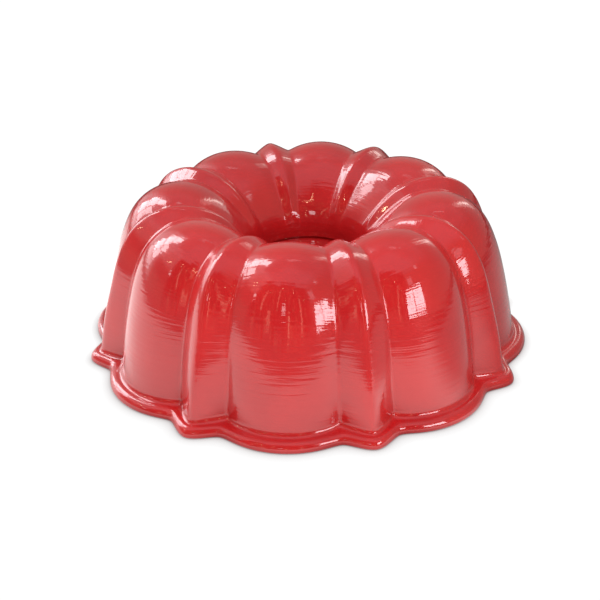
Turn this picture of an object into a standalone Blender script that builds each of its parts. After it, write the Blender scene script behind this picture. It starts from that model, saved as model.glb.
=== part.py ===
"""Fluted ring cake pan (bundt pan), standing upside down on its rim.

A fluted aluminium shell with a rolled rim, and a separate conical centre tube
whose collar laps round the shell's neck.  Red enamel is on the outside, and a
dark non-stick skin lines the baking side of both metal pieces.

Frame: metres, +Z up.  The origin is the middle of the rim's resting plane,
Z is the pan's axis, and +X runs through the middle of one ridge (and of the
pointed tab that the rim makes below it).
"""

import math

import bpy
import bmesh
import numpy as np

MM = 0.001

# ---------------------------------------------------------------- dimensions
# Lengths in millimetres, angles in degrees.

FLUTES = 8                      # rounded lobes, and as many pointed ridges
PITCH = 360.0 / FLUTES          # one lobe and one ridge
RIDGE_HALF = 7.5                # half the angle that a ridge takes up
LOBE_HALF = PITCH / 2 - RIDGE_HALF

# Sheet and linings.
SHEET = 1.2                     # aluminium sheet with its enamel
GAP = 0.3                       # assembly gap between neighbouring pieces
LINING = 0.35                   # non-stick skin

# The valley line between a lobe and a ridge: wall, crown, well and neck.
CROWN_R, CROWN_Z = 80.0, 48.0   # centre that the crown is swept about
WALL_STATIONS = ((112.8, 9.0), (110.9, 26.0))            # radius, height
CROWN_STATIONS = ((0, 26.4), (30, 25.9), (60, 30.2),     # angle, distance
                  (90, 36.3), (120, 40.3), (150, 43.2))
NECK_R = 32.4                   # round neck that the flutes run out into
NECK_TOP, NECK_END = 54.0, 46.5
CROWN_TOP_STATION = 5           # index of the crown's 90 degree station
CROWN_END_STATION = len(WALL_STATIONS) + len(CROWN_STATIONS) - 1
LINING_END_SHARE = 0.55         # of the way from the crown's last station to the neck

# Height of the ridges and lobes above the valley, at the same stations.
RIDGE_RISE = (11.3, 9.9, 8.0, 7.7, 7.6, 5.1, 3.2, 2.6, 0.0, 0.0)
LOBE_RISE = (9.3, 7.9, 7.0, 6.7, 7.2, 5.1, 3.0, 1.6, 0.0, 0.0)
CREST_SOFT = (0.14, 0.40)       # roundness of a ridge's crest: wall, well
LOBE_FULL = (0.88, 1.05)        # fullness of a lobe's arc: wall, well
WELL_LEAD = 15.0                # wall form starts to change this far before the crown's top
WELL_CHANGE = 60.0              # length over which it changes to well form
UNDERCUT_SLOPE = 1.5            # slope of a lobe's curve beyond its edge
VALLEY_FILLET = 1.2
FILLET_FULL_RISE = 6.0          # the fillet shrinks where flutes are lower than this

# Outline of the rolled rim.
TAB_R = 131.0                   # tip of each pointed tab
NOTCH_R = 120.3                 # circle that tabs and scallops rise from
SCALLOP = 0.906                 # rise of a scallop, as a share of a tab's
RIM_SOFT, RIM_FULL = 0.36, 0.91  # roundness of a tab, fullness of a scallop
RIM_BLEND = 0.58                # how widely tab and scallop run together

# Section of the roll, from its free lip to the cove behind it.
ROLL_W, ROLL_H = 4.35, 5.5      # width and height of the rolled edge
REST_W = 2.2                    # width of the roll's flat underside
REST_IN = 0.5                   # from the edge in to the flat underside
ROLL_SECTION = (  # from the edge, height, and the shift of each per unit of depth
    (-ROLL_W, 1.7, 0.72, 0.7),
    (-REST_IN - REST_W, 0.0, 0.42, 1.0),
    (-REST_IN, 0.0, -0.7, 1.0),
    (0.0, 0.8, -1.0, 0.6),
    (-0.1, 0.4 * ROLL_H, -1.0, 0.0),
    (-0.9, 0.7 * ROLL_H, -0.86, -0.52),
    (-2.3, ROLL_H - 0.5, -0.5, -0.88),
    (-ROLL_W + 0.25, ROLL_H, -0.12, -1.0),
)
COVE_IN, COVE_Z = 5.2, 5.65     # where the cove behind the roll starts
COVE_CORNER_OUT = 0.4           # the cove's control point, out from the wall's foot
COVE_CORNER_UP = 0.35           # and up from the cove's start
COVE_STEPS = 3

# Centre tube, on its well side.
COLLAR_R = NECK_R + SHEET + GAP
COLLAR_TOP, COLLAR_END = 53.4, 45.0
CONE_TOP_R = NECK_R - 0.6
CONE_TOP_Z = COLLAR_END - 4.0
SHOULDER_R = CONE_TOP_R + 0.9   # bend between collar and cone
SHOULDER_Z = COLLAR_END - 2.4
TIP_R, TIP_Z = 20.5, 7.0        # open tip
CONE_END_Z = TIP_Z + 3.0
CONE_BOW = 0.12                 # how far the cone departs from straight
CONE_STEPS = 4
TIP_LIP = (  # lip turned in towards the axis: radius and height from the tip
    (-0.5, 0.9), (-1.6, 0.9), (-1.6, -0.3), (0.2, -0.3), (SHEET - 0.2, 0.5))
TUBE_LINING_TOP = COLLAR_TOP - 0.4

# Facets: angles of the vertical edges inside one half pitch.
FLUTE_ANGLES = (0.0, RIDGE_HALF, 12.0, 17.0, PITCH / 2)
TUBE_FACETS = 40
SHARP_ANGLE = 35.0              # edges turning more than this are shaded sharp

# Half widths of the span that a surface tangent is measured over.
TANGENT_LENGTH, TANGENT_ANGLE = 0.4, 0.15


# ------------------------------------------------------------------- curves
def natural_spline(knots, values):
    """Natural cubic spline through the values at the knots, held at its ends."""
    knots = np.asarray(knots, float)
    values = np.asarray(values, float)
    count = len(knots)
    spans = np.diff(knots)
    matrix = np.zeros((count, count))
    target = np.zeros_like(values)
    matrix[0, 0] = matrix[-1, -1] = 1.0
    for i in range(1, count - 1):
        before, after = spans[i - 1], spans[i]
        matrix[i, i - 1:i + 2] = before, 2.0 * (before + after), after
        target[i] = 6.0 * ((values[i + 1] - values[i]) / after
                           - (values[i] - values[i - 1]) / before)
    bends = np.linalg.solve(matrix, target)    # second derivatives

    def value_at(place):
        place = float(min(max(place, knots[0]), knots[-1]))
        i = int(min(np.searchsorted(knots, place, side="right") - 1, count - 2))
        span = spans[i]
        past = place - knots[i]
        left = knots[i + 1] - place
        return ((bends[i] * left ** 3 + bends[i + 1] * past ** 3) / (6 * span)
                + (values[i] / span - bends[i] * span / 6) * left
                + (values[i + 1] / span - bends[i + 1] * span / 6) * past)

    return value_at


def smoothstep(x):
    x = min(max(x, 0.0), 1.0)
    return x * x * (3.0 - 2.0 * x)


def mix(start, end, share):
    return start + (end - start) * share


def angle_from_ridge(angle):
    """Angle to the middle of the nearest ridge."""
    return abs((angle + PITCH / 2) % PITCH - PITCH / 2)


def ridge_curve(off, soft):
    """Pointed crest with a softened tip: 1 at a ridge's middle, 0 at its edge."""
    root = math.sqrt(1 + soft ** 2)
    return (root - math.sqrt((off / RIDGE_HALF) ** 2 + soft ** 2)) / (root - soft)


def lobe_curve(off, full):
    """Rounded arc: 1 at a lobe's middle, 0 at its edge, negative beyond."""
    arc = 1.0 - ((PITCH / 2 - off) / LOBE_HALF) ** 2
    return arc ** full if arc > 0 else UNDERCUT_SLOPE * arc


def smooth_max(first, second, width):
    """The larger of two heights, run together over a width."""
    return 0.5 * (first + second + math.sqrt((first - second) ** 2 + width ** 2))


def to_world(radius, z, angle):
    turn = math.radians(angle)
    return np.array((radius * math.cos(turn), radius * math.sin(turn), z))


# -------------------------------------------------------------- valley line
def valley_points():
    """Stations of the valley line: radius and height, foot to neck."""
    points = list(WALL_STATIONS)
    for angle, reach in CROWN_STATIONS:
        turn = math.radians(angle)
        points.append((CROWN_R + reach * math.cos(turn),
                       CROWN_Z + reach * math.sin(turn)))
    return points + [(NECK_R, NECK_TOP), (NECK_R, NECK_END)]


def chord_lengths(points):
    """Length along the chords from the first point to each point."""
    lengths = [0.0]
    for before, after in zip(points, points[1:]):
        lengths.append(lengths[-1] + math.dist(before, after))
    return lengths


def facet_lengths():
    """Lengths from the wall's foot to the lining's end where facets change."""
    lengths = [0.0]
    last = CROWN_END_STATION
    for before, after in zip(CHORDS[1:last], CHORDS[2:last + 1]):
        lengths += [before, 0.5 * (before + after)]
    return lengths + [CHORDS[last], mix(CHORDS[last], CHORDS[last + 1], LINING_END_SHARE)]


VALLEY_POINTS = valley_points()
CHORDS = chord_lengths(VALLEY_POINTS)
VALLEY = natural_spline(CHORDS, VALLEY_POINTS)
RIDGE = natural_spline(CHORDS, RIDGE_RISE)
LOBE = natural_spline(CHORDS, LOBE_RISE)
FACET_LENGTHS = facet_lengths()


# ------------------------------------------------------------ shell surface
def flute_height(length, angle):
    """Rise above the valley line, at a length along it and an angle."""
    off = angle_from_ridge(angle)
    well = smoothstep((length - CHORDS[CROWN_TOP_STATION] + WELL_LEAD) / WELL_CHANGE)
    ridge_rise = max(float(RIDGE(length)), 0.0)
    lobe_rise = max(float(LOBE(length)), 0.0)
    ridge = ridge_curve(off, mix(*CREST_SOFT, well)) * ridge_rise
    lobe = lobe_curve(off, mix(*LOBE_FULL, well)) * lobe_rise
    fillet = VALLEY_FILLET * min(min(ridge_rise, lobe_rise) / FILLET_FULL_RISE, 1.0)
    return smooth_max(ridge, lobe, fillet)


def shell_point(length, angle):
    """Point of the enamelled face.

    Flutes rise radially below the crown's centre, and away from it above.
    """
    radius, z = VALLEY(length)
    lean = math.atan2(max(z - CROWN_Z, 0.0), radius - CROWN_R)
    rise = flute_height(length, angle)
    return to_world(radius + rise * math.cos(lean), z + rise * math.sin(lean), angle)


def shell_normal(length, angle):
    """Unit normal of the enamelled face, pointing out of the sheet."""
    along = (shell_point(length + TANGENT_LENGTH, angle)
             - shell_point(length - TANGENT_LENGTH, angle))
    around = (shell_point(length, angle + TANGENT_ANGLE)
              - shell_point(length, angle - TANGENT_ANGLE))
    normal = np.cross(around, along)
    return normal / np.linalg.norm(normal)


def shell_offset(length, angle, depth):
    """A point at a depth below the enamelled face."""
    return shell_point(length, angle) - depth * shell_normal(length, angle)


# ------------------------------------------------------------------ sections
def rim_rise(off):
    """Relative rise of the rim's outline, at an angle off from a ridge."""
    tab = ridge_curve(off, RIM_SOFT)
    scallop = SCALLOP * lobe_curve(off, RIM_FULL)
    return smooth_max(tab, scallop, RIM_BLEND)


def rim_outline(angle):
    """Outer radius of the rolled edge."""
    return mix(NOTCH_R, TAB_R, rim_rise(angle_from_ridge(angle)) / rim_rise(0.0))


def roll_face(angle, depth):
    """The rolled edge: lip turned up inside, flat underside, bulging edge."""
    edge = rim_outline(angle)
    return [to_world(edge + x + shift_x * depth, z + shift_z * depth, angle)
            for x, z, shift_x, shift_z in ROLL_SECTION]


def cove_face(angle, depth):
    """The cove behind the roll, curving up towards the wall's foot."""
    foot_x, foot_y, foot_z = shell_offset(0.0, angle, depth)
    foot_r = math.hypot(foot_x, foot_y)
    start_r = rim_outline(angle) - COVE_IN
    start_z = COVE_Z - depth
    corner_r = min(foot_r + COVE_CORNER_OUT, start_r)
    corner_z = start_z + COVE_CORNER_UP
    points = []
    for k in range(COVE_STEPS):
        u = k / COVE_STEPS
        start, corner, foot = (1 - u) ** 2, 2 * u * (1 - u), u * u
        points.append(to_world(start * start_r + corner * corner_r + foot * foot_r,
                               start * start_z + corner * corner_z + foot * foot_z,
                               angle))
    return points


def fluted_face(angle, depth):
    """One face from the rim's cove over wall and crown into the well."""
    return (cove_face(angle, depth)
            + [shell_offset(length, angle, depth) for length in FACET_LENGTHS])


def sheet_face(angle, depth):
    """One face of the whole sheet: roll, cove, wall, crown, well and neck."""
    neck = [to_world(NECK_R + depth, z, angle) for z in (NECK_TOP, NECK_END)]
    return roll_face(angle, depth) + fluted_face(angle, depth) + neck


def tube_line(offset, top=COLLAR_TOP):
    """The tube from collar to tip, at an offset away from the pan's axis."""
    line = [(COLLAR_R, top), (COLLAR_R, COLLAR_END), (SHOULDER_R, SHOULDER_Z)]
    for k in range(1, CONE_STEPS + 1):
        u = k / CONE_STEPS
        bowed = u * (1 + CONE_BOW - CONE_BOW * u)
        line.append((mix(CONE_TOP_R, TIP_R, bowed), mix(CONE_TOP_Z, CONE_END_Z, u)))
    return [(radius + offset, z) for radius, z in line]


# ------------------------------------------------------------------- meshing
def add_piece(name, bm, material):
    """Turn a closed bmesh's faces outward and add it to the scene."""
    if bm.calc_volume(signed=True) < 0:
        bmesh.ops.reverse_faces(bm, faces=bm.faces[:])
    mesh = bpy.data.meshes.new(name)
    bm.to_mesh(mesh)
    bm.free()
    mesh.shade_smooth()
    mesh.set_sharp_from_angle(angle=math.radians(SHARP_ANGLE))
    mesh.materials.append(material)
    piece = bpy.data.objects.new(name, mesh)
    bpy.context.scene.collection.objects.link(piece)
    return piece


def flute_angles():
    """All facet angles round the pan, mirrored about each lobe's middle."""
    mirrored = [PITCH - angle for angle in reversed(FLUTE_ANGLES[1:-1])]
    return [k * PITCH + angle for k in range(FLUTES) for angle in [*FLUTE_ANGLES, *mirrored]]


def fluted_skin(name, face, near_depth, far_depth, material):
    """A closed ring between two depths of a face, joined along both edges.

    The diagonals of the two faces lean the same way, so the sheet keeps its
    thickness, and are mirrored at each crest, so both sides of a flute match.
    """
    bm = bmesh.new()
    grid = []
    for angle in flute_angles():
        near = face(angle, near_depth)
        far = face(angle, far_depth)
        grid.append([bm.verts.new(point * MM) for point in near + far[::-1]])
    near_count = len(grid[0]) // 2
    half_pitch_facets = len(FLUTE_ANGLES) - 1
    for i, column in enumerate(grid):
        following = grid[(i + 1) % len(grid)]
        leaving_ridge = (i // half_pitch_facets) % 2 == 0
        for j in range(len(column)):
            k = (j + 1) % len(column)
            a, b, c, d = column[j], following[j], following[k], column[k]
            if leaving_ridge == (j < near_count):
                bm.faces.new((a, b, c))
                bm.faces.new((a, c, d))
            else:
                bm.faces.new((a, b, d))
                bm.faces.new((b, c, d))
    return add_piece(name, bm, material)


def turned_ring(name, section, material):
    """A closed section of radius and height, swept round the axis."""
    bm = bmesh.new()
    verts = [bm.verts.new((radius * MM, 0.0, z * MM)) for radius, z in section]
    edges = [bm.edges.new(pair) for pair in zip(verts, verts[1:] + verts[:1])]
    bmesh.ops.spin(bm, geom=verts + edges, cent=(0, 0, 0), axis=(0, 0, 1),
                   angle=math.tau, steps=TUBE_FACETS, use_merge=True)
    bmesh.ops.remove_doubles(bm, verts=bm.verts[:], dist=1e-7)
    bmesh.ops.recalc_face_normals(bm, faces=bm.faces[:])
    return add_piece(name, bm, material)


# ----------------------------------------------------------------- materials
def principled(name, colour, roughness, coat=0.0):
    material = bpy.data.materials.new(name)
    material.use_nodes = True
    inputs = material.node_tree.nodes["Principled BSDF"].inputs
    inputs["Base Color"].default_value = (*colour, 1.0)
    inputs["Roughness"].default_value = roughness
    inputs["Coat Weight"].default_value = coat
    return material


def red_enamel():
    return principled("red_enamel", colour=(0.52, 0.012, 0.014), roughness=0.16, coat=0.6)


def nonstick_grey():
    return principled("nonstick_grey", colour=(0.035, 0.036, 0.038), roughness=0.42)


# -------------------------------------------------------------------- pieces
def body_shell(material):
    """Fluted sheet, from the rolled rim to the neck."""
    return fluted_skin("body_shell", sheet_face, 0.0, SHEET, material)


def body_lining(material):
    """Non-stick skin over the shell's baking side, ending short of the neck."""
    back = SHEET + GAP
    return fluted_skin("body_lining", fluted_face, back, back + LINING, material)


def centre_tube(material):
    """Cone with a collar round the neck, and a lip turned in at its tip."""
    lip = [(TIP_R + out, TIP_Z + up) for out, up in TIP_LIP]
    section = tube_line(0.0) + lip + tube_line(SHEET)[::-1]
    return turned_ring("centre_tube", section, material)


def tube_lining(material):
    """Non-stick skin over the tube's baking side."""
    back = SHEET + GAP
    section = (tube_line(back, TUBE_LINING_TOP)
               + tube_line(back + LINING, TUBE_LINING_TOP)[::-1])
    return turned_ring("tube_lining", section, material)


def main():
    for obj in list(bpy.data.objects):
        bpy.data.objects.remove(obj, do_unlink=True)
    enamel = red_enamel()
    nonstick = nonstick_grey()
    pan = bpy.data.objects.new("pan", None)
    bpy.context.scene.collection.objects.link(pan)
    for piece in (body_shell(enamel), body_lining(nonstick),
                  centre_tube(enamel), tube_lining(nonstick)):
        piece.parent = pan


main()
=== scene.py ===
"""Looks for a fluted ring cake pan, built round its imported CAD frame.

The pan lies upside down: its axis is the world Z axis, the rolled rim rests at the
bottom, the crown of the ring is on top and the centre tube hangs down inside it.
One of the eight ridges points along +X, and lobes lie between the ridges.
"""
import math

import bpy
import numpy as np
from mathutils import Matrix, Vector


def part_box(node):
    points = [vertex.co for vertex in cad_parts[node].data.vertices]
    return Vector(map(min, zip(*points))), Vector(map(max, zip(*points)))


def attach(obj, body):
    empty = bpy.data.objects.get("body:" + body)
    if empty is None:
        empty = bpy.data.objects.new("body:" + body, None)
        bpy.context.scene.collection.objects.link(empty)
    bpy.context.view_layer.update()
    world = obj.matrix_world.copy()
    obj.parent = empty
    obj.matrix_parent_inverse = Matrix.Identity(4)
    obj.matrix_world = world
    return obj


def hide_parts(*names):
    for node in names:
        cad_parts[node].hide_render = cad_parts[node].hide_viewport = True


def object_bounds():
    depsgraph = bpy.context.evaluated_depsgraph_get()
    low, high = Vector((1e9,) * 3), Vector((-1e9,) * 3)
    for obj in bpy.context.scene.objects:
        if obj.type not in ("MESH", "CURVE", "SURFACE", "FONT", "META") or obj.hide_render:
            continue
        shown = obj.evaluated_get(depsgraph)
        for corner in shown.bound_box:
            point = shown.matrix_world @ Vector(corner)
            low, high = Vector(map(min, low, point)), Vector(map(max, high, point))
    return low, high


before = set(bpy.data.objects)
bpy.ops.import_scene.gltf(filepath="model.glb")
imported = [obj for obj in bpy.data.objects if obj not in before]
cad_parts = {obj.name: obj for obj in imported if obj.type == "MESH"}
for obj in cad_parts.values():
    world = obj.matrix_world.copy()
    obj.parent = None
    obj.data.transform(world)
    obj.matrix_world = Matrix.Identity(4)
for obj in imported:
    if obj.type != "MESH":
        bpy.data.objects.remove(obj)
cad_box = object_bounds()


# ------------------------------------------------------------ sizes and frame
def corners(box):
    """Lowest and highest corner of a box, as two lists of numbers."""
    return [[float(c) for c in box[0]], [float(c) for c in box[1]]]


SHELL_LOW, SHELL_HIGH = corners(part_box("body_shell"))
TAB_R = 131.0                                         # rim radius at a ridge
UNIT = (SHELL_HIGH[0] - SHELL_LOW[0]) / (2 * TAB_R)   # metres per design millimetre
BASE_Z = SHELL_LOW[2]

# The pan's sizes are in design millimetres and degrees, heights above BASE_Z.
FLUTES = 8
PITCH = 360.0 / FLUTES
RIDGE_HALF = 7.5                     # half width of a ridge
LOBE_HALF = PITCH / 2 - RIDGE_HALF
HALF_COLUMNS = 26                    # mesh columns in half a pitch

# The valley line, from the wall's foot over the crown to the end of the neck
CROWN_R, CROWN_Z = 80.0, 48.0        # centre of the crown's arc
WALL_STATIONS = ((112.8, 9.0), (110.9, 26.0))         # (radius, height)
CROWN_STATIONS = ((0, 26.4), (30, 25.9), (60, 30.2), (90, 36.3),
                  (120, 40.3), (150, 43.2))           # (angle, distance from the centre)
NECK_R, NECK_TOP, NECK_END = 32.4, 54.0, 46.5

# Rise of ridge and lobe above the valley, one value for each point of that line
RIDGE_RISE = (11.3, 9.9, 8.0, 7.7, 7.6, 5.1, 3.2, 2.6, 0.0, 0.0)
LOBE_RISE = (9.3, 7.9, 7.0, 6.7, 7.2, 5.1, 3.0, 1.6, 0.0, 0.0)
CREST_SOFT = (0.14, 0.40)            # roundness of a ridge: at the wall, in the well
LOBE_FULL = (0.88, 1.05)             # exponent of a lobe's arc: at the wall, in the well
LOBE_BEYOND = 1.5                    # how steeply a lobe's arc falls past the valley
WELL_LEAD, WELL_SPAN = 15, 60        # the change starts this far before the top, takes this long
VALLEY_FILLET, FILLET_RISE = 1.2, 6  # fillet, and the rise from which it is full
LIFT_SOFT, LIFT_BELOW = 6.0, 40.0    # softening of the rise's direction, and where it is level
NORMAL_STEP, NORMAL_TURN = 0.4, 0.15  # steps along and around for finding normals

# The rim
NOTCH_R, SCALLOP = 120.3, 0.906      # rim radius at a valley, height of a lobe's scallop
RIM_SOFT, RIM_FULL, RIM_BLEND = 0.36, 0.91, 0.58
ROLL_W, ROLL_H, REST_W, REST_IN = 4.35, 5.5, 2.2, 0.5
COVE_IN, COVE_Z = 5.2, 5.65          # start of the cove: inward from the edge, height
COVE_CORNER = (0.4, 0.35)            # its curve's handle, out from the foot and up
LIP_ROWS, ROLL_SAMPLES, COVE_SAMPLES, RELAX_ROUNDS = 4, 72, 40, 4

# Sheet, lining and centre tube
SHEET, GAP, LINING = 1.2, 0.3, 0.35
LINING_IN = SHEET + GAP              # depth of the lining's near face
LAP_TOP, LAP_END = 53.4, 45.0        # collar of the tube round the neck
LINING_DROP = 0.4                    # the tube's lining starts this far below its collar
BEND_OUT, BEND_DROP = 0.9, 2.4       # bend between collar and cone
CONE_IN, CONE_DROP, CONE_LIFT = 0.6, 4.0, 3.0
CONE_BOW, CONE_STEPS = 0.12, 22
TUBE_TIP_R, TUBE_TIP_Z, TUBE_LIP_R = 20.5, 7.0, 1.6
TUBE_TIP = [                         # (radius, height) of the inward lip
    (TUBE_TIP_R - 0.5, TUBE_TIP_Z + 0.9), (TUBE_TIP_R - TUBE_LIP_R, TUBE_TIP_Z + 0.9),
    (TUBE_TIP_R - TUBE_LIP_R, TUBE_TIP_Z - 0.3), (TUBE_TIP_R + 0.2, TUBE_TIP_Z - 0.3),
    (TUBE_TIP_R + SHEET - 0.2, TUBE_TIP_Z + 0.5)]
TUBE_COLUMNS = 192

# The camera's frame has +Y away from the camera; this turns it to the CAD frame.
VIEW_TURN = math.radians(15.35)
VIEW_COS, VIEW_SIN = math.cos(VIEW_TURN), math.sin(VIEW_TURN)
TO_CAD = Matrix.Rotation(-VIEW_TURN, 3, "Z")


# ------------------------------------------------------------------- curves
class Spline:
    """Natural cubic spline through values at knots, evaluated on arrays."""

    def __init__(self, knots, values):
        knots, values = np.asarray(knots, float), np.asarray(values, float)
        count, gaps = len(knots), np.diff(knots)
        system, target = np.zeros((count, count)), np.zeros((count,) + values.shape[1:])
        system[0, 0] = system[-1, -1] = 1.0
        for i in range(1, count - 1):
            before, after = gaps[i - 1], gaps[i]
            system[i, i - 1:i + 2] = before, 2 * (before + after), after
            target[i] = 6 * ((values[i + 1] - values[i]) / after
                             - (values[i] - values[i - 1]) / before)
        self.knots, self.values, self.gaps = knots, values, gaps
        self.bends = np.linalg.solve(system, target)

    def __call__(self, place):
        knots, values, bends = self.knots, self.values, self.bends
        place = np.clip(np.asarray(place, float), knots[0], knots[-1])
        i = np.clip(np.searchsorted(knots, place, side="right") - 1, 0, len(knots) - 2)
        past, left, gap = place - knots[i], knots[i + 1] - place, self.gaps[i]
        if values.ndim > 1:
            past, left, gap = past[..., None], left[..., None], gap[..., None]
        return ((bends[i] * left ** 3 + bends[i + 1] * past ** 3) / (6 * gap)
                + (values[i] / gap - bends[i] * gap / 6) * left
                + (values[i + 1] / gap - bends[i + 1] * gap / 6) * past)


def chord_run(points):
    """Length along a chain of points, at each point."""
    return np.concatenate([[0.0], np.cumsum([math.dist(p, q)
                                             for p, q in zip(points, points[1:])])])


def smooth(x):
    x = np.clip(x, 0.0, 1.0)
    return x * x * (3 - 2 * x)


POINTS = [*WALL_STATIONS]
POINTS += [(CROWN_R + reach * math.cos(math.radians(angle)),
            CROWN_Z + reach * math.sin(math.radians(angle)))
           for angle, reach in CROWN_STATIONS]
POINTS += [(NECK_R, NECK_TOP), (NECK_R, NECK_END)]
CHORDS = chord_run(POINTS)
LENGTH, CROWN_TOP = CHORDS[-1], CHORDS[5]
VALLEY = Spline(CHORDS, POINTS)
RIDGE = Spline(CHORDS, RIDGE_RISE)
LOBE = Spline(CHORDS, LOBE_RISE)
FACE_END = 0.45 * CHORDS[7] + 0.55 * CHORDS[8]   # end of the fluted face, before the neck


def flank(angles):
    """Angle from the nearest ridge."""
    return np.abs((angles + PITCH / 2) % PITCH - PITCH / 2)


def ridge_shape(off, soft):
    """Ridge across its width: 1 at the crest, 0 at the valley, below 0 past it."""
    across = off / RIDGE_HALF
    root = np.sqrt(1 + soft * soft)
    return (root - np.sqrt(across * across + soft * soft)) / (root - soft)


def lobe_shape(off, full):
    """Lobe across its width: 1 at its middle, 0 at the valley, below 0 past it."""
    arc = 1 - ((PITCH / 2 - off) / LOBE_HALF) ** 2
    return np.where(arc > 0, np.maximum(arc, 1e-12) ** full, LOBE_BEYOND * arc)


def soft_max(first, second, blend):
    return 0.5 * (first + second + np.sqrt((first - second) ** 2 + blend ** 2))


def relief(along, angles):
    """Rise of the outer face above the valley line."""
    off = flank(angles)
    well = smooth((along - CROWN_TOP + WELL_LEAD) / WELL_SPAN)
    soft = CREST_SOFT[0] + (CREST_SOFT[1] - CREST_SOFT[0]) * well
    full = LOBE_FULL[0] + (LOBE_FULL[1] - LOBE_FULL[0]) * well
    ridge_rise = np.maximum(RIDGE(along), 0)
    lobe_rise = np.maximum(LOBE(along), 0)
    fillet = VALLEY_FILLET * np.clip(np.minimum(ridge_rise, lobe_rise) / FILLET_RISE, 0, 1)
    return soft_max(ridge_shape(off, soft) * ridge_rise, lobe_shape(off, full) * lobe_rise, fillet)


def face_point(along, angles):
    """Points of the outer face, for arrays of length along the valley line and angle."""
    line = VALLEY(along)
    radius, z = line[..., 0], line[..., 1]
    # direction of the rise: level low on the wall, turning over the crown
    lift = z - CROWN_Z
    lift = (0.5 * (lift + np.sqrt(lift * lift + LIFT_SOFT ** 2))
            - 0.5 * (np.sqrt(LIFT_SOFT ** 2 + LIFT_BELOW ** 2) - LIFT_BELOW))
    out = np.arctan2(np.maximum(lift, 0), radius - CROWN_R)
    out = np.where((along > CROWN_TOP) & (z <= CROWN_Z), math.pi, out)
    rise = relief(along, angles)
    turn = np.radians(angles)
    radius = radius + rise * np.cos(out)
    return np.stack([radius * np.cos(turn), radius * np.sin(turn), z + rise * np.sin(out)], -1)


def face_offset(along, angles, depth):
    """Points at a depth below the outer face."""
    here = face_point(along, angles)
    if depth == 0:
        return here
    onward = (face_point(np.minimum(along + NORMAL_STEP, LENGTH), angles)
              - face_point(np.maximum(along - NORMAL_STEP, 0), angles))
    around = face_point(along, angles + NORMAL_TURN) - face_point(along, angles - NORMAL_TURN)
    normal = np.cross(around, onward)
    return here - depth * normal / np.linalg.norm(normal, axis=-1, keepdims=True)


def rim_rise(off):
    """Rise of the rim's outline above its base circle."""
    return soft_max(ridge_shape(off, RIM_SOFT), SCALLOP * lobe_shape(off, RIM_FULL), RIM_BLEND)


def rim_outline(angles):
    """Outer radius of the rolled edge."""
    return NOTCH_R + (TAB_R - NOTCH_R) * rim_rise(flank(angles)) / rim_rise(np.zeros(1))


# Sections are arrays of (rows, columns, radius and height).
def resample(path, count):
    """Points spread evenly along each column's path."""
    step = np.linalg.norm(np.diff(path, axis=0), axis=-1)
    run = np.concatenate([np.zeros((1, path.shape[1])), np.cumsum(step, axis=0)])
    spread = np.zeros((count, path.shape[1], 2))
    for j in range(path.shape[1]):
        want = np.linspace(0, run[-1, j], count)
        for k in range(2):
            spread[:, j, k] = np.interp(want, run[:, j], path[:, j, k])
    return spread


def relax(path):
    """Rounds off a path's corners; its first and last rows stay."""
    path = path.copy()
    for _ in range(RELAX_ROUNDS):
        path[1:-1] = 0.5 * path[1:-1] + 0.25 * (path[:-2] + path[2:])
    return path


def cove(angles, depth, rows):
    """The hollow curve behind the roll, up to the wall's foot."""
    foot = face_offset(np.zeros_like(angles), angles, depth)
    foot_r, foot_z = np.hypot(foot[:, 0], foot[:, 1]), foot[:, 2]
    start_r, start_z = rim_outline(angles) - COVE_IN, COVE_Z - depth
    corner_r, corner_z = np.minimum(foot_r + COVE_CORNER[0], start_r), start_z + COVE_CORNER[1]

    def bezier(start, corner, end, part):
        return (1 - part) ** 2 * start + 2 * part * (1 - part) * corner + part * part * end

    return np.stack([np.stack([bezier(start_r, corner_r, foot_r, part),
                               bezier(start_z, corner_z, foot_z, part)], -1)
                     for part in np.linspace(0, 1, rows)])


def rim_section(angles, depth, rows):
    """Lip, roll and cove in section, on the outer face or at a depth below it."""
    edge = rim_outline(angles)
    right = -REST_IN                 # the flat on which the roll rests
    left = right - REST_W
    # (distance out from the rim's edge, height): the lip, then the roll from the
    # resting flat round the outside to the cove
    if depth == 0:
        lip = [(-ROLL_W, 1.7), (left - 0.45, 0.34), (left + 0.35, 0.0)]
        roll = [(right - 0.25, 0.0), (right + 0.32, 0.15), (0.0, 0.8),
                (-0.1, 0.4 * ROLL_H), (-0.9, 0.7 * ROLL_H), (-2.3, ROLL_H - 0.5),
                (-ROLL_W + 0.25, ROLL_H), (-COVE_IN, COVE_Z)]
    else:
        lip = [(-ROLL_W + 0.72 * depth, 1.7 + 0.7 * depth),
               (left + 0.42 * depth - 0.3, depth + 0.3), (left + 0.42 * depth + 0.3, depth)]
        roll = [(right - 0.7 * depth, depth), (-depth, 0.5 + 0.85 * depth),
                (-0.1 - depth, 0.4 * ROLL_H),
                (-0.9 - 0.86 * depth, 0.7 * ROLL_H - 0.52 * depth),
                (-2.3 - 0.5 * depth, ROLL_H - 0.5 - 0.88 * depth),
                (-ROLL_W + 0.25 - 0.12 * depth, ROLL_H - depth), (-COVE_IN, COVE_Z - depth)]

    def at_edge(outline):
        outline = np.array(outline, float)
        heights = np.broadcast_to(outline[:, 1:], (len(outline), len(edge)))
        return np.stack([edge + outline[:, :1], heights], -1)

    run = chord_run(roll)
    bulge = Spline(run, roll)(np.linspace(0, run[-1], ROLL_SAMPLES))
    upper = np.concatenate([at_edge(bulge), cove(angles, depth, COVE_SAMPLES)[1:]])
    return np.concatenate([resample(at_edge(lip), LIP_ROWS), relax(resample(upper, rows))])


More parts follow.
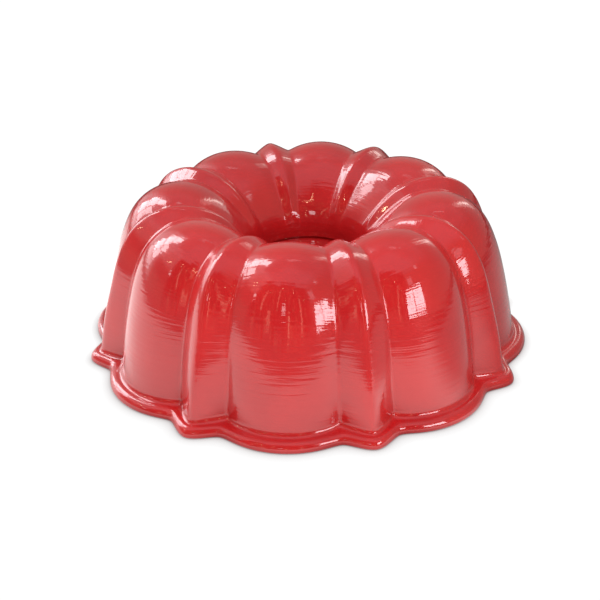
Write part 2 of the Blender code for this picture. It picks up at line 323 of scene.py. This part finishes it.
def columns(half):
    """Column angles: `half` of them in each half pitch, closest at every third of it."""
    even = np.linspace(0, 1, half + 1)
    steps = 0.45 + 0.9 * np.abs(np.sin(math.pi * (even[:-1] + 0.5 / half) * 3)) ** 1.5
    fine = np.concatenate([[0.0], np.cumsum(steps)]) / steps.sum() * PITCH / 2
    angles = []
    for k in range(FLUTES):
        angles += [k * PITCH + angle for angle in fine[:-1]]
        angles += [(k + 1) * PITCH - angle for angle in fine[:0:-1]]
    return np.array(angles)


def to_xyz(path, angles):
    turn = np.radians(angles)[None, :]
    return np.stack([path[..., 0] * np.cos(turn), path[..., 0] * np.sin(turn), path[..., 1]], -1)


def turned_rows(line, angles):
    """A line of (radius, height) turned round the axis."""
    return to_xyz(np.array(line, float)[:, None, :].repeat(len(angles), axis=1), angles)


# ------------------------------------------------------------------- meshing
def add_object(name, data):
    item = bpy.data.objects.new(name, data)
    bpy.context.scene.collection.objects.link(item)
    return item


def ring_body(name, near, far, far_slot=0):
    """A closed ring from two faces, each (rows, columns, 3) in millimetres.

    The near face takes material slot 0, the far face and both edges `far_slot`.
    The vertex attribute "skin" holds x, y and the length along the section,
    for the finishes that run round the pan."""
    rows = np.concatenate([near, far[::-1]])
    row_count, column_count = rows.shape[:2]
    run = np.concatenate([[0.0], np.cumsum(np.linalg.norm(np.diff(rows[:, 0], axis=0), axis=-1))])
    verts = rows.reshape(-1, 3) * UNIT
    verts[:, 2] += BASE_Z
    i, j = np.meshgrid(np.arange(row_count), np.arange(column_count), indexing="ij")
    this_row, next_row = i * column_count, (i + 1) % row_count * column_count
    next_j = (j + 1) % column_count
    quads = np.stack([this_row + j, this_row + next_j, next_row + next_j, next_row + j], -1)
    quads = quads.reshape(-1, 4)
    slots = np.zeros(row_count)
    slots[len(near) - 1:] = far_slot
    # a negative volume means that the faces look inward
    first, second, third = (verts[quads[:, k]] for k in range(3))
    if np.einsum("ij,ij->i", first, np.cross(second, third)).sum() < 0:
        quads = quads[:, ::-1]
    mesh = bpy.data.meshes.new(name)
    mesh.vertices.add(len(verts))
    mesh.vertices.foreach_set("co", verts.astype(np.float32).ravel())
    mesh.loops.add(len(quads) * 4)
    mesh.loops.foreach_set("vertex_index", quads.astype(np.int32).ravel())
    mesh.polygons.add(len(quads))
    mesh.polygons.foreach_set("loop_start", np.arange(0, len(quads) * 4, 4, dtype=np.int32))
    mesh.polygons.foreach_set("material_index", np.repeat(slots, column_count).astype(np.int32))
    mesh.update(calc_edges=True)
    mesh.validate()
    skin = mesh.attributes.new("skin", "FLOAT_VECTOR", "POINT")
    data = np.stack([verts[:, 0], verts[:, 1], np.repeat(run, column_count) * UNIT], -1)
    skin.data.foreach_set("vector", data.astype(np.float32).ravel())
    mesh.shade_smooth()
    mesh.set_sharp_from_angle(angle=math.radians(50))
    return add_object(name, mesh)


# ----------------------------------------------------------------- materials
class NodeNet:
    """Short names for building node trees."""

    def __init__(self, tree):
        self.tree = tree
        tree.nodes.clear()

    def new(self, kind, **props):
        node = self.tree.nodes.new(kind)
        for key, value in props.items():
            setattr(node, key, value)
        return node

    def put(self, socket, value):
        """Links a socket to the input, or sets a value; a 3-tuple is a colour."""
        if isinstance(value, bpy.types.NodeSocket):
            self.tree.links.new(value, socket)
        elif isinstance(value, tuple):
            socket.default_value = (*value, 1.0)
        elif value is not None:
            socket.default_value = value

    def math(self, operation, *values):
        node = self.new("ShaderNodeMath", operation=operation)
        for socket, value in zip(node.inputs, values):
            self.put(socket, value)
        return node.outputs[0]

    def add(self, first, second):
        return self.math("ADD", first, second)

    def sub(self, first, second):
        return self.math("SUBTRACT", first, second)

    def mul(self, first, second):
        return self.math("MULTIPLY", first, second)

    def step(self, value, zero, one):
        """Smooth step between the values where it is 0 and where it is 1."""
        node = self.new("ShaderNodeMapRange", interpolation_type="SMOOTHSTEP")
        self.put(node.inputs["Value"], value)
        self.put(node.inputs["From Min"], zero)
        self.put(node.inputs["From Max"], one)
        return node.outputs["Result"]

    def ramp(self, value, low, high):
        """Straight ramp from low, at value 0, to high, at value 1."""
        node = self.new("ShaderNodeMapRange")
        self.put(node.inputs["Value"], value)
        self.put(node.inputs["To Min"], low)
        self.put(node.inputs["To Max"], high)
        return node.outputs["Result"]

    def mix(self, factor, under, over, blend="MIX"):
        node = self.new("ShaderNodeMix", data_type="RGBA", blend_type=blend)
        for index, value in ((0, factor), (6, under), (7, over)):
            self.put(node.inputs[index], value)
        return node.outputs[2]

    def tinge(self, under, pattern, zero, one, amount, over):
        """Lays a colour thinly over another where a pattern is strong."""
        return self.mix(self.mul(self.step(pattern, zero, one), amount), under, over)

    def noise(self, vector, scale, detail, rough):
        node = self.new("ShaderNodeTexNoise")
        self.put(node.inputs["Vector"], vector)
        self.put(node.inputs["Scale"], scale)
        self.put(node.inputs["Detail"], detail)
        self.put(node.inputs["Roughness"], rough)
        return node.outputs["Fac"]

    def scaled(self, vector, factors):
        node = self.new("ShaderNodeVectorMath", operation="MULTIPLY")
        self.put(node.inputs[0], vector)
        node.inputs[1].default_value = factors
        return node.outputs[0]

    def rings(self, skin, across, along, detail, rough):
        """Noise drawn out round the pan, from the "skin" attribute."""
        return self.noise(self.scaled(skin, (across, across, along)), 1.0, detail, rough)

    def bump(self, height, distance, normal=None):
        node = self.new("ShaderNodeBump")
        self.put(node.inputs["Distance"], distance)
        self.put(node.inputs["Height"], height)
        self.put(node.inputs["Normal"], normal)
        return node.outputs["Normal"]

    def skin(self):
        return self.new("ShaderNodeAttribute", attribute_name="skin").outputs["Vector"]

    def emission(self, colour, strength=None):
        node = self.new("ShaderNodeEmission")
        self.put(node.inputs["Strength"], strength)
        self.put(node.inputs["Color"], colour)
        return node.outputs[0]

    def mix_shaders(self, factor, first, second):
        node = self.new("ShaderNodeMixShader")
        for socket, value in zip(node.inputs, (factor, first, second)):
            self.put(socket, value)
        return node.outputs[0]

    def diffuse_share(self, path, share):
        """The share for soft light on the pan, 1 for every other ray."""
        return self.sub(1.0, self.mul(path.outputs["Is Diffuse Ray"], 1.0 - share))


def fresh(name):
    material = bpy.data.materials.new(name)
    material.use_nodes = True
    net = NodeNet(material.node_tree)
    return material, net, net.new("ShaderNodeOutputMaterial").inputs["Surface"]


def surface(name):
    material, net, surface_in = fresh(name)
    shader = net.new("ShaderNodeBsdfPrincipled")
    net.put(surface_in, shader.outputs["BSDF"])
    return material, net, shader.inputs


def red_enamel():
    """Glossy red enamel over spun sheet: fine rings, orange peel, worn crests."""
    material, net, inputs = surface("red_enamel")
    skin = net.skin()
    place = net.new("ShaderNodeNewGeometry")
    spot = place.outputs["Position"]
    # colour: broad unevenness of the coat, fine pigment grain and rings
    broad = net.noise(spot, scale=26.0, detail=3.0, rough=0.55)
    grain = net.noise(spot, scale=2300.0, detail=2.0, rough=0.6)
    rings = net.rings(skin, across=22.0, along=520.0, detail=2.0, rough=0.55)
    tint = net.mix(net.step(broad, zero=0.30, one=0.70),
                   under=(0.395, 0.0085, 0.0105), over=(0.470, 0.0115, 0.0125))
    tint = net.tinge(tint, grain, zero=0.45, one=0.75, amount=0.14, over=(0.56, 0.030, 0.028))
    tint = net.tinge(tint, rings, zero=0.55, one=0.80, amount=0.10, over=(0.30, 0.007, 0.009))
    # wear: the coat thins a little along sharp outward edges
    worn = net.step(place.outputs["Pointiness"], zero=0.515, one=0.56)
    patches = net.noise(spot, scale=420.0, detail=4.0, rough=0.7)
    scuff = net.mul(worn, net.step(patches, zero=0.45, one=0.70))
    scuff_tint, scuff_rough, scuff_coat = 0.35, 0.12, 0.10
    tint = net.mix(net.mul(scuff, scuff_tint), tint, over=(0.52, 0.045, 0.040))
    net.put(inputs["Base Color"], tint)
    net.put(inputs["IOR"], 1.5)
    net.put(inputs["Specular IOR Level"], 0.10)
    smear = net.ramp(net.noise(spot, scale=75.0, detail=3.0, rough=0.6), low=0.26, high=0.40)
    net.put(inputs["Roughness"], net.add(smear, net.mul(scuff, scuff_rough)))
    net.put(inputs["Coat Weight"], 1.0)
    net.put(inputs["Coat IOR"], 1.55)
    haze = net.ramp(net.noise(spot, scale=55.0, detail=2.0, rough=0.5), low=0.008, high=0.024)
    net.put(inputs["Coat Roughness"], net.add(haze, net.mul(scuff, scuff_coat)))
    # relief: slow ripples, orange peel, rings left by spinning the sheet
    slow = net.noise(spot, scale=80.0, detail=1.0, rough=0.4)
    ripple = net.bump(slow, distance=0.00010)
    dimples = net.noise(spot, scale=560.0, detail=1.0, rough=0.5)
    peel = net.bump(dimples, distance=0.000007, normal=ripple)
    turned = net.bump(rings, distance=0.000120, normal=peel)
    net.put(inputs["Normal"], turned)
    net.put(inputs["Coat Normal"], turned)
    return material


def nonstick():
    """Dark non-stick coat: fine speckle, faint rings, satin sheen."""
    material, net, inputs = surface("nonstick_grey")
    skin = net.skin()
    spot = net.new("ShaderNodeNewGeometry").outputs["Position"]
    speck = net.noise(spot, scale=2600.0, detail=2.0, rough=0.6)
    cloud = net.noise(spot, scale=38.0, detail=4.0, rough=0.6)
    rings = net.rings(skin, across=26.0, along=900.0, detail=3.0, rough=0.6)
    tone = net.mix(net.step(cloud, zero=0.3, one=0.7),
                   under=(0.026, 0.027, 0.029), over=(0.044, 0.045, 0.048))
    tone = net.tinge(tone, speck, zero=0.58, one=0.72, amount=0.7, over=(0.14, 0.142, 0.15))
    tone = net.tinge(tone, rings, zero=0.55, one=0.85, amount=0.35, over=(0.07, 0.07, 0.073))
    net.put(inputs["Base Color"], tone)
    net.put(inputs["Roughness"], net.add(net.ramp(cloud, low=0.34, high=0.50),
                                         net.ramp(speck, low=-0.05, high=0.05)))
    fine = net.bump(speck, distance=0.00002)
    net.put(inputs["Normal"], net.bump(rings, distance=0.00004, normal=fine))
    return material


def bare_aluminium():
    """Uncoated sheet, at cut edges and inside the roll."""
    material, net, inputs = surface("bare_aluminium")
    rings = net.rings(net.skin(), across=20.0, along=2600.0, detail=3.0, rough=0.6)
    net.put(inputs["Base Color"], net.mix(net.step(rings, zero=0.3, one=0.7),
                                          under=(0.62, 0.63, 0.65), over=(0.80, 0.81, 0.82)))
    net.put(inputs["Metallic"], 1.0)
    net.put(inputs["Roughness"], net.ramp(rings, low=0.26, high=0.42))
    net.put(inputs["Normal"], net.bump(rings, distance=0.00002))
    return material


# -------------------------------------------------------------------- pieces
ENAMEL, NONSTICK, BARE = red_enamel(), nonstick(), bare_aluminium()
ANGLES = columns(HALF_COLUMNS)
ROUND = np.linspace(0, 360, TUBE_COLUMNS, endpoint=False)


def face_rows(depth, rows):
    """Wall and crown at a depth, without the row at the wall's foot."""
    along, angles = np.meshgrid(np.linspace(0, FACE_END, rows)[1:], ANGLES, indexing="ij")
    return face_offset(along, angles, depth)


def sheet_rows(depth, rim_rows, rows):
    """Roll, cove, wall, crown and neck of the shell at a depth."""
    neck = [(NECK_R + depth, z) for z in (NECK_TOP, 0.5 * (NECK_TOP + NECK_END), NECK_END)]
    return np.concatenate([to_xyz(rim_section(ANGLES, depth, rim_rows), ANGLES),
                           face_rows(depth, rows), turned_rows(neck, ANGLES)])


def lining_rows(depth, rows):
    """Non-stick skin from the rim's cove to the tube's collar."""
    return np.concatenate([to_xyz(cove(ANGLES, depth, 14), ANGLES), face_rows(depth, rows)])


def tube_line(offset, top=LAP_TOP):
    """The tube from collar to tip, at an offset away from the axis."""
    collar = NECK_R + LINING_IN + offset
    cone_r, cone_z = NECK_R - CONE_IN + offset, LAP_END - CONE_DROP
    line = [(collar, top), (collar, 0.5 * (LAP_TOP + LAP_END)), (collar, LAP_END),
            (cone_r + BEND_OUT, LAP_END - BEND_DROP)]
    for part in np.linspace(0, 1, CONE_STEPS + 1)[1:]:
        bow = part * (1 + CONE_BOW - CONE_BOW * part)
        line.append((cone_r + (TUBE_TIP_R + offset - cone_r) * bow,
                     cone_z + (TUBE_TIP_Z + CONE_LIFT - cone_z) * part))
    return line


def finish_piece(piece, materials, node):
    for material in materials:
        piece.data.materials.append(material)
    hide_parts(node)
    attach(piece, "root")


def pan_shell():
    outer = sheet_rows(0.0, rim_rows=44, rows=110)
    inner = sheet_rows(SHEET, rim_rows=28, rows=40)
    shell = ring_body("pan_shell", outer, inner, far_slot=1)
    finish_piece(shell, (ENAMEL, BARE), "body_shell")


def pan_lining():
    lining = ring_body("pan_lining", lining_rows(LINING_IN, rows=30),
                       lining_rows(LINING_IN + LINING, rows=96))
    finish_piece(lining, (NONSTICK,), "body_lining")


def pan_tube():
    """Sheet of the tube, with the enamel on the side facing the axis."""
    tube = ring_body("pan_tube", turned_rows(tube_line(0.0) + TUBE_TIP, ROUND),
                     turned_rows(tube_line(SHEET), ROUND), far_slot=1)
    finish_piece(tube, (ENAMEL, BARE), "centre_tube")


def pan_tube_lining():
    near, far = (turned_rows(tube_line(offset, top=LAP_TOP - LINING_DROP), ROUND)
                 for offset in (LINING_IN, LINING_IN + LINING))
    finish_piece(ring_body("pan_tube_lining", near, far), (NONSTICK,),
                 "tube_lining")


# ---------------------------------------------------------------------- stage
# Azimuth runs clockwise, seen from above, from straight behind the pan as the
# camera sees it; elevation is above the horizon. Both are in degrees.
def direction(azimuth, elevation):
    """Unit direction in the camera's frame."""
    turn, rise = math.radians(azimuth), math.radians(elevation)
    return (math.sin(turn) * math.cos(rise), math.cos(turn) * math.cos(rise), math.sin(rise))


def view_axes(net, x, y):
    """World x and y as seen by the camera: to its right, and away from it."""
    right = net.sub(net.mul(x, VIEW_COS), net.mul(y, VIEW_SIN))
    away = net.add(net.mul(x, VIEW_SIN), net.mul(y, VIEW_COS))
    return right, away


def split(net, vector):
    node = net.new("ShaderNodeSeparateXYZ")
    net.put(node.inputs[0], vector)
    return node.outputs


def azimuth_of(net, right, away):
    return net.math("DEGREES", net.math("ARCTAN2", right, away))


def sector(net, azimuth, centre, half, soft):
    """1 inside a span of azimuth, 0 outside it."""
    across = net.math("ABSOLUTE", net.math("WRAP", net.sub(azimuth, centre), 180.0, -180.0))
    return net.step(across, zero=half + soft / 2, one=half - soft / 2)


FLOOR_RADIUS, FLOOR_SIDES = 14.0, 96
FLOOR_Z = corners(cad_box)[0][2] - 0.0002
FLOOR_SEEN = 1.05          # brightness of the floor in the picture
FLOOR_PAINTED_SHADOW = (0.12, 0.02, 0.02)     # painted contact shadow where the pan touches the floor, with a painted red tinge from the pan
PAINTED_SHADOW_NEAR, PAINTED_SHADOW_FAR = 0.0052, 0.0098   # reach of that shade: elsewhere, on the camera's side
FLOOR_BACK = 0.12          # brightness of the floor behind the pan, in its gloss
FLOOR_INSIDE_PAINTED_GLOW = 0.9         # painted light: glow of the floor under the pan, lighting its inside where a real floor would lie in shade
FLOOR_DIFFUSE = 1.38       # how much of that brightness lights the pan softly
SHEET_EDGE, SHEET_CUT = 0.80, 0.34   # the floor's bright part: reach, less towards the camera
# (centre azimuth, half width, soft edge, brightness above the back's)
FLOOR_GLOWS = [(-138.5, 93.5, 22, 1.58), (97, 42, 50, 0.44)]


def floor_white():
    """White floor: plain to the camera with a tight painted shadow, tinged red, where the pan
    touches it, and to the pan's gloss as bright as each side of the room makes it."""
    material, net, surface_in = fresh("floor_white")
    x, y, _ = split(net, net.new("ShaderNodeNewGeometry").outputs["Position"])
    right, away = view_axes(net, x, y)
    reach = net.math("SQRT", net.add(net.mul(x, x), net.mul(y, y)))
    azimuth = azimuth_of(net, right, away)

    def shade(distance):
        node = net.new("ShaderNodeAmbientOcclusion", samples=16)
        net.put(node.inputs["Distance"], distance)
        return node.outputs["AO"]

    # painted contact shadow: ambient occlusion darkens the floor the camera sees to a red-tinged
    # shade near the rim, reaching further on the camera's side
    front = net.step(net.math("DIVIDE", away, reach), zero=0.1, one=-0.85)
    near, far = shade(PAINTED_SHADOW_NEAR), shade(PAINTED_SHADOW_FAR)
    blend = net.new("ShaderNodeMix", data_type="FLOAT")
    for index, value in ((0, front), (2, near), (3, far)):
        net.put(blend.inputs[index], value)
    painted_shadow = net.mix(blend.outputs[0], under=FLOOR_PAINTED_SHADOW, over=(FLOOR_SEEN,) * 3)

    level = 0.0
    for centre, half, soft, value in FLOOR_GLOWS:
        level = net.add(level, net.mul(sector(net, azimuth, centre, half, soft), value))
    # the bright part ends a little way from the pan, nearest towards the camera
    toward = net.step(net.math("DIVIDE", away, reach), zero=-0.5, one=-1.0)
    edge = net.sub(SHEET_EDGE, net.mul(toward, SHEET_CUT))
    bright = net.step(net.math("DIVIDE", reach, edge), zero=1.25, one=0.80)
    # painted shade: the floor's brightness fades to nothing near the rim and under the pan,
    # standing in for the pan's shadow on it
    level = net.mul(net.add(level, FLOOR_BACK),
                    net.mul(net.step(reach, zero=0.112, one=0.150),
                            net.ramp(bright, low=0.18, high=1.0)))
    # under the pan: painted light, a glow that lights the pan's inside
    inside = net.mul(net.step(reach, zero=0.106, one=0.098),
                     net.step(reach, zero=0.026, one=0.036))
    level = net.add(level, net.mul(inside, FLOOR_INSIDE_PAINTED_GLOW))
    path = net.new("ShaderNodeLightPath")
    dim = net.diffuse_share(path, FLOOR_DIFFUSE)
    unseen = net.emission((1.0, 0.985, 0.97), net.mul(level, dim))
    seen = net.emission(painted_shadow)
    top = net.mix_shaders(path.outputs["Is Camera Ray"], unseen, seen)
    clear = net.new("ShaderNodeBsdfTransparent").outputs[0]
    backfacing = net.new("ShaderNodeNewGeometry").outputs["Backfacing"]
    net.put(surface_in, net.mix_shaders(backfacing, top, clear))
    material.cycles.emission_sampling = "NONE"
    return material


def pale_floor():
    """A plain white disc, seen from above only."""
    mesh = bpy.data.meshes.new("floor")
    turns = [math.tau * k / FLOOR_SIDES for k in range(FLOOR_SIDES)]
    verts = [(0.0, 0.0, FLOOR_Z)]
    verts += [(FLOOR_RADIUS * math.cos(turn), FLOOR_RADIUS * math.sin(turn), FLOOR_Z)
              for turn in turns]
    faces = [(0, 1 + k, 1 + (k + 1) % FLOOR_SIDES) for k in range(FLOOR_SIDES)]
    mesh.from_pydata(verts, [], faces)
    mesh.materials.append(floor_white())
    add_object("floor", mesh)


# The room in directions from the pan.
# (centre azimuth, half width, low, high, soft edge across, soft edge up, colour)
SHADES = [
    (20, 62, -4, 50, 24, 10.0, (0.42, 0.395, 0.37)),     # quiet wall behind the pan
    (0, 80, 44, 76, 50, 16.0, (0.60, 0.59, 0.60)),       # band above it
    (-88, 22, 13, 28, 10, 5.0, (0.34, 0.31, 0.29)),      # low patch on the left
    (-162, 50, -4, 57.5, 9, 1.4, (0.11, 0.085, 0.085)),  # dark end, on the camera's side
    (-172, 22, 50, 64, 8, 2.0, (0.17, 0.14, 0.14)),      # its upper edge
    (-162, 50, -4, 10.5, 9, 3.0, (0.36, 0.33, 0.32)),    # its paler foot
]
GLOWS = [
    (-93, 22, 31, 62, 8, 6.0, (0.45, 0.47, 0.50)),       # soft light on the left
    (-50, 24, -2, 57, 8, 8.0, (0.55, 0.58, 0.62)),
    (-42.5, 9.5, 29.8, 43.4, 1.2, 1.0, (7.6, 7.6, 8.0)),  # tall window, upper panes
    (-41.5, 8.0, 44.2, 56.5, 1.2, 1.0, (8.6, 8.6, 9.0)),
    (-61.5, 7.2, 29.8, 42, 0.8, 1.0, (6.0, 6.0, 6.3)),
    (-46, 7.5, 13.5, 28.6, 1.2, 1.0, (6.0, 6.0, 6.4)),   # lower panes
    (-61, 6.0, 13.5, 28.6, 1.0, 1.0, (5.0, 5.0, 5.3)),
    (-53.5, 14, 3, 12.2, 1.5, 1.0, (1.7, 1.7, 1.8)),
    (139, 5.5, 32.2, 45, 1.5, 0.8, (1.2, 1.2, 1.3)),     # small panes on the right
    (108, 3.0, 49.5, 55, 1.5, 1.0, (2.2, 2.2, 2.3)),
    (30, 5.0, 10, 42, 2.0, 3.0, (0.9, 0.85, 0.8)),       # slim window behind, right
    (28.5, 1.6, 13, 34, 0.8, 1.2, (2.6, 2.5, 2.3)),
    (-168, 3.2, 20.5, 27.5, 1.0, 1.0, (5.5, 5.5, 5.6)),  # small bright patches
    (-113, 2.4, 25, 29.5, 1.0, 1.0, (5.0, 5.0, 5.0)),
    (-176, 1.2, 8, 19, 0.8, 1.5, (2.6, 1.9, 1.3)),       # warm upright strips
    (-146, 2.6, 9, 20, 1.2, 1.5, (1.4, 1.1, 0.8)),
    (-132, 1.0, 18, 44, 0.6, 1.5, (2.0, 1.5, 1.1)),
    (-157, 0.8, 24, 50, 0.5, 1.5, (2.2, 1.5, 1.0)),
    (166, 1.0, 8, 40, 0.6, 1.5, (2.0, 1.4, 1.0)),
    (8, 16, 61.5, 63.2, 3.0, 0.5, (1.6, 1.6, 1.7)),      # ceiling strip
    (178, 14, -3, 12, 10, 5.0, (0.6, 0.03, 0.02)),       # low red patch by the camera
]
CLUTTER = (-164, 47, 1, 54, 10, 6.0)   # where the dark end is mottled, in the same columns
# (azimuth, elevation, radius), all in degrees
LAMPS = [(-99, 40, 0.7), (-94, 37, 0.6), (-146, 46.2, 0.4), (-160, 52.5, 0.45),
         (174, 47, 0.4), (-127, 52, 0.5), (159, 33, 0.35), (-150, 31, 0.3),
         (-171, 36, 0.3), (-140, 39, 0.3), (-176, 24, 0.3)]
LAMP_COLOUR, LAMP_CORE = (75.0, 54.0, 32.0), 0.7   # the core is a share of the radius
ROOM_DIFFUSE = 0.50        # share of the room's brightness that lights the pan softly
ROOM_SEEN = 1.1            # plain white that the camera sees


def room():
    """Soft studio room: pale ceiling, quieter walls, windows and small lamps."""
    world = bpy.data.worlds.new("room")
    bpy.context.scene.world = world
    world.use_nodes = True
    net = NodeNet(world.node_tree)
    out = net.new("ShaderNodeOutputWorld")
    ray = net.new("ShaderNodeTexCoord").outputs["Generated"]
    x, y, z = split(net, ray)
    azimuth = azimuth_of(net, *view_axes(net, x, y))
    elevation = net.math("DEGREES", net.math("ARCSINE", z))

    def mask(centre, half, low, high, soft_across, soft_up):
        inside = sector(net, azimuth, centre, half, soft_across)
        up = net.step(elevation, zero=low - soft_up / 2, one=low + soft_up / 2)
        down = net.step(elevation, zero=high + soft_up / 2, one=high - soft_up / 2)
        return net.mul(inside, net.mul(up, down))

    colour = net.mix(net.step(elevation, zero=46.0, one=66.0),
                     under=(0.52, 0.47, 0.41), over=(0.86, 0.86, 0.92))
    for *span, shade in SHADES:
        colour = net.mix(mask(*span), colour, shade)
    # dim warm mottling and dark gaps in the dark end
    things = net.noise(net.scaled(ray, (1.0, 1.0, 0.45)), scale=15.0, detail=3.0, rough=0.6)
    lit = net.mul(net.step(things, zero=0.50, one=0.66), mask(*CLUTTER))
    colour = net.mix(lit, colour, over=(0.75, 0.46, 0.26), blend="ADD")
    gaps = net.noise(net.scaled(ray, (1.0, 1.0, 0.6)), scale=21.0, detail=2.0, rough=0.5)
    dark = net.mul(net.step(gaps, zero=0.56, one=0.64), mask(*CLUTTER))
    colour = net.mix(dark, colour, over=(0.04, 0.03, 0.03))
    for *span, glow in GLOWS:
        colour = net.mix(mask(*span), colour, glow, "ADD")
    for centre, up, size in LAMPS:
        right, away, rise = direction(centre, up)
        dot = net.new("ShaderNodeVectorMath", operation="DOT_PRODUCT")
        net.put(dot.inputs[0], ray)
        dot.inputs[1].default_value = (right * VIEW_COS + away * VIEW_SIN,
                                       -right * VIEW_SIN + away * VIEW_COS, rise)
        glow = net.step(dot.outputs["Value"], zero=math.cos(math.radians(size)),
                        one=math.cos(math.radians(size * LAMP_CORE)))
        colour = net.mix(glow, colour, LAMP_COLOUR, "ADD")
    background = net.new("ShaderNodeBackground")
    net.put(background.inputs["Color"], colour)
    path = net.new("ShaderNodeLightPath")
    net.put(background.inputs["Strength"], net.diffuse_share(path, ROOM_DIFFUSE))
    plain = net.new("ShaderNodeBackground")
    net.put(plain.inputs["Color"], (1, 1, 1))
    net.put(plain.inputs["Strength"], ROOM_SEEN)
    net.put(out.inputs["Surface"], net.mix_shaders(
        path.outputs["Is Camera Ray"], background.outputs[0], plain.outputs[0]))


# Panel: sizes in metres. (left, right, low, high) of each pane, seen from the pan
PANES = ((-0.084, -0.003, -0.056, 0.006), (0.003, 0.082, -0.056, 0.006),
         (-0.084, -0.003, 0.011, 0.060), (0.003, 0.070, 0.011, 0.060))
PANEL_AZIMUTH, PANEL_ELEVATION, PANEL_DISTANCE = 132, 20.5, 0.30
PANEL_FROM = (0.035, -0.118, 0.050)  # point that it is placed from, in the camera's frame
PANEL_COLOUR, PANEL_STRENGTH = (1.0, 1.0, 1.06), 11.5


def side_panel():
    """Paned light panel close on the right, seen only in the pan's gloss."""
    aim = Vector(direction(PANEL_AZIMUTH, PANEL_ELEVATION))
    turn = math.radians(PANEL_AZIMUTH)
    across = Vector((math.cos(turn), -math.sin(turn), 0.0))
    up = across.cross(aim)
    middle = Vector(PANEL_FROM) + aim * PANEL_DISTANCE
    verts, faces = [], []
    for left, right, low, high in PANES:
        start = len(verts)
        for x, y in ((left, low), (right, low), (right, high), (left, high)):
            spot = middle + across * x + up * y
            spot.rotate(TO_CAD)
            verts.append(spot)
        faces.append(tuple(range(start, start + 4)))
    mesh = bpy.data.meshes.new("side_panel")
    mesh.from_pydata(verts, [], faces)
    glow, net, surface_in = fresh("panel_glow")
    net.put(surface_in, net.emission(PANEL_COLOUR, PANEL_STRENGTH))
    glow.cycles.emission_sampling = "NONE"
    mesh.materials.append(glow)
    panel = add_object("side_panel", mesh)
    panel.visible_camera = False
    panel.visible_diffuse = False
    panel.visible_shadow = False
    panel.visible_transmission = False


def front_light():
    """Soft disc of light above the camera's side, left out of the gloss."""
    distance, aim_height = 0.62, 0.04
    spot = Vector(direction(azimuth=168, elevation=58)) * distance
    spot.rotate(TO_CAD)
    data = bpy.data.lights.new("front", "AREA")
    data.shape = "DISK"
    data.size = 0.30
    data.energy = 3.0
    light = add_object("front", data)
    light.location = spot + Vector((0, 0, aim_height))
    light.rotation_euler = (-spot).to_track_quat("-Z", "Y").to_euler()
    light.visible_glossy = False
    light.visible_camera = False


def camera():
    """Camera aimed at the middle of the pan's base, looking down on the pan."""
    distance, tilt, roll = 668.085 * UNIT, math.radians(29.711), math.radians(-0.639)
    right = np.array((1.0, 0.0, 0.0))
    up = np.array((0.0, math.sin(tilt), math.cos(tilt)))
    forward = np.array((0.0, math.cos(tilt), -math.sin(tilt)))
    roll_cos, roll_sin = math.cos(roll), math.sin(roll)
    right, up = roll_cos * right + roll_sin * up, -roll_sin * right + roll_cos * up
    turn = np.array(TO_CAD)
    matrix = Matrix((turn @ np.stack([right, up, -forward], 1)).tolist()).to_4x4()
    matrix.translation = Vector((turn @ (-forward * distance)).tolist())
    matrix[2][3] += BASE_Z
    data = bpy.data.cameras.new("camera")
    data.sensor_width = 36.0
    data.lens = 65.775
    data.shift_x = -0.01366667
    data.shift_y = 0.04683333
    data.clip_start = 0.01
    data.clip_end = 60.0
    eye = add_object("camera", data)
    eye.matrix_world = matrix
    bpy.context.scene.camera = eye


pan_shell()
pan_lining()
pan_tube()
pan_tube_lining()
pale_floor()
room()
side_panel()
front_light()
camera()
bpy.context.scene.view_settings.view_transform = "Standard"
